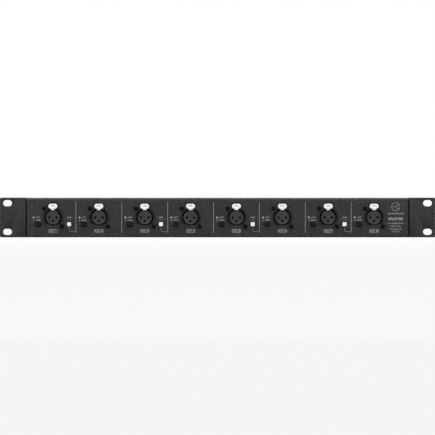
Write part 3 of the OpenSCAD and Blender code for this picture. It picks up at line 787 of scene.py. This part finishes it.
latch = makeLatch(latchSizes)
for i, x in enumerate(channelX, start=1):
    body = f"input_latch_{i}"
    finished(copiesOf(latch, [shift(x)], f"inputLatch{i}"), latchMetal, body, [body])
    marks = bmesh.new()
    mesh = lettering(pushMark["words"], pushMark["text"], pushMark["thick"], pushMark["spacing"])
    y = boxOf(body)[0].y + pushMark["sink"]
    addMesh(marks, mesh, shift(x, y, latchSizes["middle"]) @ turn(90, "X"))
    finished(objectFrom(marks, f"latchMark{i}"), latchMark, body)
bpy.data.objects.remove(latch)
print("latches made")


# Buttons

liftFinish = {"color": (0.005, 0.005, 0.0052), "grainScale": 3600.0, "rough": (0.35, 0.45), "spread": 0.08,
              "wear": 0.2, "wornColor": (0.03, 0.03, 0.03), "bump": 0.2, "depth": 0.015, "specular": 0.12,
              "dust": 0.0}
liftPlastic = surface("liftPlastic", liftFinish)
linkFinish = {"color": (0.72, 0.715, 0.7), "grainScale": 3600.0, "rough": (0.28, 0.36), "spread": 0.02,
              "wear": 0.0, "coat": 0.2, "bump": 0.15, "depth": 0.01}
linkPlastic = surface("linkPlastic", linkFinish)
buttonSizes = {"cap": 4.3, "round": 0.5, "capBack": 3.5, "plunger": 2.6, "edge": 0.3, "dishRadius": 20.0,
               "dish": 0.14}


def makeButton(s):
    face, end = (v.y for v in boxOf("lift_button_1"))
    bm = bmesh.new()
    addSlab(bm, roundOutline(s["cap"], s["cap"], s["round"], 6), face, s["capBack"])
    button = objectFrom(bm, "buttonMaster")
    soften(button, s["edge"], 4)
    bm = bmesh.new()
    half = s["plunger"] / 2
    addBox(bm, (-half, s["capBack"] - 0.5, -half), (half, end, half))
    fuse(button, bm)
    bm = bmesh.new()
    place = shift(0, face - s["dishRadius"] + s["dish"], 0)
    bmesh.ops.create_icosphere(bm, subdivisions=5, radius=s["dishRadius"], matrix=place)
    cut(button, bm)
    return button


button = makeButton(buttonSizes)
for kind, places, plastic in (("lift", liftX, liftPlastic), ("link", linkX, linkPlastic)):
    for i, x in enumerate(places, start=1):
        body = f"{kind}_button_{i}"
        piece = copiesOf(button, [shift(x, 0, buttonZ)], f"{kind}Button{i}")
        finished(piece, plastic, body, [body])
bpy.data.objects.remove(button)
print("buttons made")


# Screws

screwFinish = {"color": (0.006, 0.006, 0.0062), "grainScale": 3000.0, "rough": (0.3, 0.44), "spread": 0.12,
               "metallic": 0.85, "wear": 0.15, "wornColor": (0.06, 0.06, 0.06), "bump": 0.15, "depth": 0.01,
               "specular": 0.2, "dust": 0.0}
blackScrew = surface("blackScrew", screwFinish)


def makeScrew(s, countersunk=False):
    # The head stands towards -Y from a seat at y = 0, and the shank runs the other way.
    r, shank, high, end = s["head"] / 2, s["shank"] / 2, s["high"], s["long"]
    if countersunk:
        profile = [(0, 0), (r - 0.15, 0), (r, 0.1), (shank, high), (shank, end), (0, end)]
    else:
        profile = [(0, -high), (r * 0.62, -high), (r * 0.86, -high * 0.82), (r, -high * 0.4), (r, 0),
                   (shank, 0), (shank, end), (0, end)]
    screw = objectFrom(lathe(profile, 40), "screwMaster")
    face = 0 if countersunk else -high
    long, narrow = s["recess"] / 2, s["recess"] * 0.14
    for x, z, deep in ((long, narrow, 0.55), (narrow, long, 0.551)):
        tools = bmesh.new()
        addBox(tools, (-x, face - 1, -z), (x, face + high * deep, z))
        cut(screw, tools)
    soften(screw, 0.06)
    return screw


def screwRow(name, screw, places, node):
    piece = copiesOf(screw, places, name)
    bpy.data.objects.remove(screw)
    return finished(piece, blackScrew, "chassis", [node])


def flangePlaces(columns, y, facing, turned, cycle):
    # Neighbouring screws stop at different angles.
    spots = [(x + dx, dz) for x in columns for dx, dz in connector["screws"]]
    return [shift(x, y, z) @ facing @ turn(turned * (k % cycle), "Y") for k, (x, z) in enumerate(spots)]


def earPlaces():
    out = earLow.x + earSizes["thick"]
    spots = [(side, y, z) for side in (-1, 1) for y in earSizes["screwY"] for z in earSizes["screwZ"]]
    return [shift(side * out, y, z) @ turn(90 * side, "Z") @ turn(11 * k, "Y")
            for k, (side, y, z) in enumerate(spots)]


def lidPlaces(s):
    lipY = backY - traySizes["foldRadius"] - traySizes["lip"] / 2
    places = [shift(k * s["pitch"], lipY, coverHigh.z) @ turn(-90, "X") for k in range(-2, 3)]
    for side in (-1, 1):
        for y in (s["sideY"], backY - s["fromBack"]):
            places.append(shift(side * coverHigh.x, y, s["sideZ"]) @ turn(90 * side, "Z"))
    return places


panScrew = {"head": 4.8, "high": 1.3, "shank": 2.5, "long": 9.0, "recess": 2.6}
lidScrew = {"head": 5.5, "high": 1.0, "shank": 3.0, "long": 5.4, "recess": 3.0, "pitch": 92, "sideY": 82.0,
            "fromBack": 12, "sideZ": -8}
inputPlaces = flangePlaces(channelX, frontY, turn(0, "Z"), 17, 5)
outputPlaces = flangePlaces(outputX, backY, turn(180, "Z"), 23, 4)
screwRow("inputScrews", makeScrew(panScrew), inputPlaces, "input_screws")
screwRow("outputScrews", makeScrew(panScrew), outputPlaces, "output_screws")
screwRow("earScrews", makeScrew(earScrew, True), earPlaces(), "ear_screws")
screwRow("coverScrews", makeScrew(lidScrew), lidPlaces(lidScrew), "cover_screws")
print("screws made")


# Outputs

cupSizes = {"bore": 19.0, "deep": 14.4, "disc": 3.0, "floor": 2.5, "flange": 24.6, "boss": 4.8,
            "bossDeep": 10.0, "pin": 2.4, "ribHalf": 0.9, "edge": 0.22}


def makeCup(s):
    mouth = boxOf("output_cups_direct")[1].y
    seat = mouth - s["deep"] - s["disc"]
    end = seat - s["floor"]
    bm = bmesh.new()
    addRod(bm, cupOuter, end, mouth, steps=96)
    cup = objectFrom(bm, "cupMaster")
    parts = bmesh.new()
    outline = roundOutline(s["flange"], s["flange"], 2.0)
    addSlab(parts, outline, rearWallY - connector["flangeThick"], rearWallY)
    fuse(cup, parts)
    parts = bmesh.new()
    for x, z in connector["screws"]:
        addRod(parts, s["boss"], rearWallY - s["bossDeep"], rearWallY - 0.3, x, z, 40)
    addFeet(parts, end)
    fuse(cup, parts)
    tools = bmesh.new()
    addRod(tools, s["bore"], seat, mouth + 1, steps=96)
    cut(cup, tools)
    tools = bmesh.new()
    addRod(tools, s["bore"], mouth - 0.7, mouth + 0.3, steps=96, endDiameter=s["bore"] + 1.7)
    cut(cup, tools)
    tools = bmesh.new()
    for x, z in connector["contacts"]:
        addRod(tools, connector["tailHole"], end - 1, seat + 1, x, z, 24)
    for x, z in connector["screws"]:
        addRod(tools, connector["screwHole"], rearWallY - s["bossDeep"] + 0.6, rearWallY + 1, x, z, 24)
    cut(cup, tools)
    # A raised rib inside the cup keys the cable socket.
    rib = bmesh.new()
    addBox(rib, (-s["ribHalf"], seat + s["disc"] + 0.5, -s["bore"] / 2 - 0.4),
           (s["ribHalf"], mouth - 1.5, -s["bore"] / 2 + 0.9))
    fuse(cup, rib)
    soften(cup, s["edge"])
    return cup


def makeDisc(s):
    low, high = boxOf("output_inserts")
    r = s["bore"] / 2 - 0.05
    profile = [(0, low.y), (r, low.y), (r, high.y), (r - 1.4, high.y), (r - 1.6, high.y - 0.3),
               (0, high.y - 0.3)]
    disc = objectFrom(lathe(profile, 96), "discMaster")
    tools = bmesh.new()
    for x, z in connector["contacts"]:
        addRod(tools, s["pin"] + 0.2, low.y - 1, high.y + 1, x, z, 32)
    cut(disc, tools)
    soften(disc, 0.1)
    numbers = [("1", -4.1, 2.9), ("2", 4.1, 2.9), ("3", 0.0, -1.0)]
    return numbered(disc, numbers, high.y - 0.33, turn(180, "Z") @ turn(90, "X"))


def makePin(s):
    low, high = boxOf("output_pins")
    seat = boxOf("output_inserts")[0].y
    r = s["pin"] / 2
    profile = [(0, low.y), (0.5, low.y), (0.5, seat - 0.8), (2.0, seat - 0.8), (2.0, seat), (r, seat),
               (r, high.y - 1.3), (r * 0.9, high.y - 0.7), (r * 0.66, high.y - 0.22), (r * 0.3, high.y),
               (0, high.y)]
    return objectFrom(lathe(profile, 32), "pinMaster")


cup = makeCup(cupSizes)
disc = makeDisc(cupSizes)
pin = makePin(cupSizes)
for kind, places in (("direct", outputX[0::2]), ("isolated", outputX[1::2])):
    piece = copiesOf(cup, [shift(x) for x in places], f"outputCups{kind.capitalize()}")
    finished(piece, socketPlastic, "chassis", [f"output_cups_{kind}"])
finished(copiesOf(disc, [shift(x) for x in outputX], "outputInserts"),
         insertPlastic, "chassis", ["output_inserts"])
pinPlaces = [shift(x + dx, 0, dz) for x in outputX for dx, dz in connector["contacts"]]
finished(copiesOf(pin, pinPlaces, "outputPins"), contactGold, "chassis", ["output_pins"])
for master in (cup, disc, pin):
    bpy.data.objects.remove(master)
print("outputs made")


# Printed marks

inkFinish = {"color": (0.29, 0.29, 0.287), "grainScale": 5200.0, "rough": (0.5, 0.6), "spread": 0.1,
             "wear": 0.0, "dust": 0.0, "bump": 0.2, "depth": 0.01}
ink = surface("printInk", inkFinish)
dimInk = surface("dimPrintInk", {**inkFinish, "color": (0.19, 0.19, 0.188)})
printSizes = {"thick": 0.04, "divider": 0.55, "dividerHalf": 16.8, "line": 0.35, "pillWide": 10.0,
              "pillHigh": 4.3, "pillZ": -14.8, "channelText": 2.5, "smallText": 1.7, "legendX": -16.4,
              "iconX": -21.4, "dot": 1.05, "rowGap": 3.1, "leaderZ": -15.6, "leaderRound": 2.3,
              "weight": 0.01, "boldWeight": 0.07, "bracketHalf": 1.4, "bracketTop": -2.5, "bracketLow": -3.3,
              "bracketLine": 0.2, "groundBars": (1.0, 0.65, 0.3), "groundTop": 1.0, "groundStep": 0.5,
              "groundLine": 0.22}


def addFrontText(bm, words, height, x, z, s, spacing=1.0, weight=None):
    place = shift(x, frontY - s["thick"] / 2, z) @ turn(90, "X")
    thickness = s["weight"] if weight is None else weight
    addMesh(bm, lettering(words, height, s["thick"], spacing, thickness), place)


def addDot(bm, radius, x, z, s):
    addRod(bm, 2 * radius, frontY - s["thick"], frontY, x, z, 24)


def makeDividers(s):
    bm = bmesh.new()
    for left, right in zip(channelX, channelX[1:]):
        x = (left + right) / 2
        addBox(bm, (x - s["divider"] / 2, frontY - s["thick"], -s["dividerHalf"]),
               (x + s["divider"] / 2, frontY, s["dividerHalf"]))
    # Leaders run from each link button down and round to the divider on its right.
    for x in linkX:
        channel = max(c for c in channelX if c < x)
        end = channel + channelPitch / 2
        turnAt = s["leaderZ"] + s["leaderRound"]
        arc = arcPoints(x + s["leaderRound"], turnAt, s["leaderRound"], 180, 270, 8)
        addInkLine(bm, [(x, buttonZ - 3.6)] + arc + [(end, s["leaderZ"])], s["line"], s["thick"])
        half, top, low = s["bracketHalf"], s["bracketTop"], s["bracketLow"]
        bracket = [(x - half, low), (x - half, top), (x + half, top), (x + half, low)]
        addInkLine(bm, bracket, s["bracketLine"], s["thick"])
    finished(objectFrom(bm, "printDividers"), dimInk, "chassis")


def makeLegends(s):
    bm = bmesh.new()
    for number, x in enumerate(channelX, start=1):
        wide, high = s["pillWide"] - s["line"], s["pillHigh"] - s["line"]
        pill = roundOutline(wide, high, high / 2 - 0.01, 10, x, s["pillZ"])
        addInkLine(bm, pill + [pill[0]], s["line"], s["thick"])
        addFrontText(bm, f"CH {number}", s["channelText"], x, s["pillZ"], s, 1.05, s["boldWeight"])
        addFrontText(bm, "LIFT", s["smallText"], x + s["legendX"], 0, s, 1.05)
        addFrontText(bm, "GND", s["smallText"], x + s["legendX"], -s["rowGap"], s, 1.05)
        addDot(bm, s["dot"], x + s["iconX"], 0, s)
        # A small ground mark stands beside the second row.
        icon, row = x + s["iconX"], -s["rowGap"]
        for k, half in enumerate(s["groundBars"]):
            z = row + 0.15 - s["groundStep"] * k
            addInkLine(bm, [(icon - half, z), (icon + half, z)], s["groundLine"], s["thick"])
        addInkLine(bm, [(icon, row + s["groundTop"]), (icon, row + 0.1)], s["groundLine"], s["thick"])
    for x in linkX:
        addFrontText(bm, "LINK", s["smallText"], x, 0, s, 1.05)
    finished(objectFrom(bm, "printLegends"), ink, "chassis")


titleSizes = {"x": 197.3, "markZ": 12.0, "markRadius": 4.6, "nameZ": 4.2, "nameText": 1.9, "boldZ": -1.7,
              "boldText": 2.5, "boldWeight": 0.16, "smallText": 1.4, "rows": [-6.5, -9.75, -12.9, -15.6],
              "circleLine": 0.35, "signLine": 0.3, "signDot": 0.6}


def makeTitle(s, p):
    # A plain sign for one input that goes to two outputs, and lines that say what the unit does.
    bm = bmesh.new()
    x, z, r = s["x"], s["markZ"], s["markRadius"]
    circle = arcPoints(x, z, r, 0, 360, 40)
    addInkLine(bm, circle, s["circleLine"], p["thick"])
    addInkLine(bm, [(x - 2.6, z), (x - 0.6, z)], s["signLine"], p["thick"])
    fork = [(x + 2.2, z + 1.7), (x + 1.0, z + 1.7), (x - 0.6, z), (x + 1.0, z - 1.7), (x + 2.2, z - 1.7)]
    addInkLine(bm, fork, s["signLine"], p["thick"])
    for dx, dz in ((-2.7, 0), (2.3, 1.7), (2.3, -1.7)):
        addDot(bm, s["signDot"], x + dx, z + dz, p)
    addFrontText(bm, "MICROPHONE", s["nameText"], x, s["nameZ"], p)
    addFrontText(bm, "SPLITTER", s["boldText"], x, s["boldZ"], p, 1.12, s["boldWeight"])
    words = [f"{channels}-CHANNEL INPUT", "DIRECT AND", "ISOLATED OUT", "GND LIFT"]
    for line, height in zip(words, s["rows"]):
        addFrontText(bm, line, s["smallText"], x, height, p)
    finished(objectFrom(bm, "printTitle"), ink, "chassis")


rearSizes = {"plugText": 1.9, "plugZ": -14.8, "pairText": 1.5, "pairZ": 14.6}


def makeRearPrint(s, p):
    bm = bmesh.new()
    facing = turn(180, "Z") @ turn(90, "X")
    y = backY + p["thick"] / 2
    for k, x in enumerate(outputX):
        words = f"{k // 2 + 1} {'DIR' if k % 2 == 0 else 'ISO'}"
        addMesh(bm, lettering(words, s["plugText"], p["thick"]), shift(x, y, s["plugZ"]) @ facing)
    for left, right in zip(outputX[0::2], outputX[1::2]):
        mesh = lettering("OUTPUTS", s["pairText"], p["thick"], 1.1)
        addMesh(bm, mesh, shift((left + right) / 2, y, s["pairZ"]) @ facing)
    finished(objectFrom(bm, "printRear"), ink, "chassis")


makeDividers(printSizes)
makeLegends(printSizes)
makeTitle(titleSizes, printSizes)
makeRearPrint(rearSizes, printSizes)
print("print made")


# Inside the case: the frame's own pieces, refinished

innerFinishes = {
    "circuitBoard": {"color": (0.018, 0.11, 0.045), "grainScale": 900.0, "rough": (0.25, 0.4), "spread": 0.2,
                     "coat": 0.3, "wear": 0.0, "bump": 0.3, "depth": 0.03},
    "canMetal": {"color": (0.45, 0.45, 0.43), "grainScale": 1400.0, "rough": (0.35, 0.5), "metallic": 1.0,
                 "wear": 0.1, "bump": 0.2},
    "coilTape": {"color": (0.24, 0.1, 0.03), "grainScale": 1800.0, "rough": (0.4, 0.55), "bump": 0.4},
    "zincPlate": {"color": (0.6, 0.6, 0.57), "grainScale": 2200.0, "rough": (0.25, 0.42), "metallic": 1.0},
    "tinnedWire": {"color": (0.66, 0.66, 0.64), "grainScale": 4000.0, "rough": (0.2, 0.3), "metallic": 1.0},
    "springSteel": {"color": (0.5, 0.5, 0.49), "grainScale": 3000.0, "rough": (0.2, 0.3), "metallic": 1.0},
    "ribbonSheath": {"color": (0.2, 0.2, 0.2), "grainScale": 2000.0, "rough": (0.5, 0.6), "bump": 0.3},
    "switchPlastic": {"color": (0.015, 0.015, 0.015), "grainScale": 3400.0, "rough": (0.4, 0.5)},
}
innerNodes = {
    "circuitBoard": ["front_board", "main_board", "rear_board"],
    "canMetal": ["transformer_cans"],
    "coilTape": ["transformer_coils"],
    "zincPlate": ["board_pillars", "board_screws", "case_nuts"],
    "tinnedWire": ["transformer_pins"],
    "springSteel": ["latch_springs"],
    "ribbonSheath": ["front_ribbons", "rear_ribbons"],
    "switchPlastic": ["lift_switches", "link_switches", "ribbon_headers"],
}
for name, nodes in innerNodes.items():
    finish = surface(name, innerFinishes[name])
    for node in nodes:
        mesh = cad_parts[node].data
        mesh.materials.clear()
        mesh.materials.append(finish)
print("inside refinished")


# Studio

studio = {"distance": 3.0, "sensor": 36.0, "fill": 0.998, "floorSize": 14.0,
          "floorColor": (0.03, 0.03, 0.03), "floorGlow": 0.9, "worldSeen": 1.0, "worldLight": 0.36,
          "keyPower": 36.0, "keySize": (1.6, 0.45), "keyAt": (0.0, -0.12, 1.3),
          "fillPower": 12.5, "fillSize": (2.2, 1.4), "fillAt": (0.0, -2.4, 0.5),
          "sidePower": 16.0, "sideSize": (0.5, 0.5), "sideAt": (1.4, -0.85, 0.1),
          "backPower": 34.0, "backAt": (0.0, 1.7, 1.3)}


def makeFloor(s):
    # The floor glows towards the camera only, so it stays pale and throws no light on the case.
    bm = bmesh.new()
    bmesh.ops.create_grid(bm, x_segments=1, y_segments=1, size=s["floorSize"] / 2,
                          matrix=shift(0, 0, -halfHigh * mm))
    floor = objectFrom(bm, "floor")
    material = bpy.data.materials.new("paleFloor")
    material.use_nodes = True
    shader = material.node_tree.nodes["Principled BSDF"]
    shader.inputs["Base Color"].default_value = (*s["floorColor"], 1)
    shader.inputs["Roughness"].default_value = 0.9
    shader.inputs["Specular IOR Level"].default_value = 0.0
    shader.inputs["Emission Color"].default_value = (1, 1, 1, 1)
    shader.inputs["Emission Strength"].default_value = s["floorGlow"]
    floor.data.materials.append(material)
    floor.visible_diffuse = False
    floor.visible_glossy = False
    return floor


def makeWorld(s):
    world = bpy.data.worlds.new("studioWorld")
    bpy.context.scene.world = world
    world.use_nodes = True
    tree = world.node_tree
    background = tree.nodes["Background"]
    seen = tree.nodes.new("ShaderNodeLightPath").outputs["Is Camera Ray"]
    strength = ramp(tree, seen, 0.0, 1.0)
    strength.node.inputs["To Min"].default_value = s["worldLight"]
    strength.node.inputs["To Max"].default_value = s["worldSeen"]
    tree.links.new(strength, background.inputs["Strength"])
    background.inputs["Color"].default_value = (1, 1, 1, 1)


def addSoftLight(name, power, size, at):
    light = bpy.data.lights.new(name, "AREA")
    light.shape = "RECTANGLE"
    light.size, light.size_y = size
    light.energy = power
    lamp = bpy.data.objects.new(name, light)
    lamp.location = at
    lamp.rotation_euler = (-Vector(at)).to_track_quat("-Z", "Y").to_euler()
    bpy.context.scene.collection.objects.link(lamp)
    return lamp


def makeCamera(s):
    data = bpy.data.cameras.new("camera")
    data.type = "PERSP"
    data.sensor_width = s["sensor"]
    wide = s["fill"] * 2 * earHigh.x * mm
    data.lens = s["sensor"] * s["distance"] / wide
    data.clip_end = 50
    camera = bpy.data.objects.new("camera", data)
    camera.location = (0, frontY * mm - s["distance"], 0)
    camera.rotation_euler = (math.radians(90), 0, 0)
    bpy.context.scene.collection.objects.link(camera)
    bpy.context.scene.camera = camera


makeFloor(studio)
makeWorld(studio)
addSoftLight("keyLight", studio["keyPower"], studio["keySize"], studio["keyAt"])
addSoftLight("fillLight", studio["fillPower"], studio["fillSize"], studio["fillAt"])
addSoftLight("backLight", studio["backPower"], studio["keySize"], studio["backAt"])
sideX, sideY, sideZ = studio["sideAt"]
for name, side in (("leftLight", -1), ("rightLight", 1)):
    addSoftLight(name, studio["sidePower"], studio["sideSize"], (side * sideX, sideY, sideZ))
makeCamera(studio)
bpy.context.scene.view_settings.view_transform = "Standard"
print("studio made")
